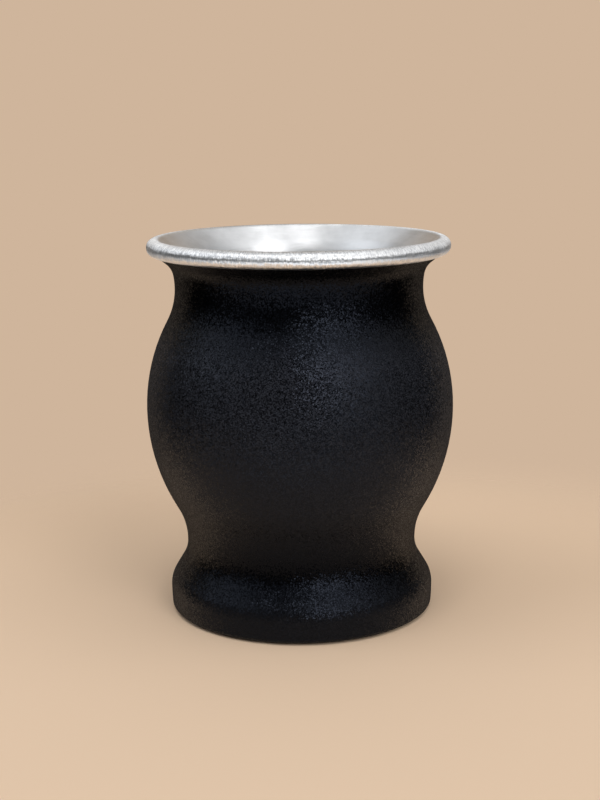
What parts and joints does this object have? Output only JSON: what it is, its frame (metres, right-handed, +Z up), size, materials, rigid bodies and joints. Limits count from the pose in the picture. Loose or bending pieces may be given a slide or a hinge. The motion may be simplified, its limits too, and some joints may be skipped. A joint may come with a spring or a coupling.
{
  "type": "mate cup",
  "caption": "Double-walled metal mate cup with a flared lip, round belly, narrow waist and wide foot; black coated outer shell, bare inner cup with a rolled rim, padded base.",
  "frame": {"origin": "centre of the standing face under the foot", "axes": "+Z up along the cup's axis; the cup is a body of revolution, so X and Y are free"},
  "size_m": [0.0816, 0.0816, 0.1],
  "materials": {
    "black_coat": "matte black powder coat with a fine grain",
    "bare_metal": "fine sanded stainless steel, satin inside",
    "seal": "food-grade silicone",
    "base_metal": "plain pressed sheet",
    "pad": "matte non-slip pad"
  },
  "bodies": {
    "root": {"outer_shell": "black_coat", "inner_cup": "bare_metal", "rim_seal": "seal", "base_plate": "base_metal", "base_seal": "seal", "foot_pad": "pad"}
  },
  "joints": []
}
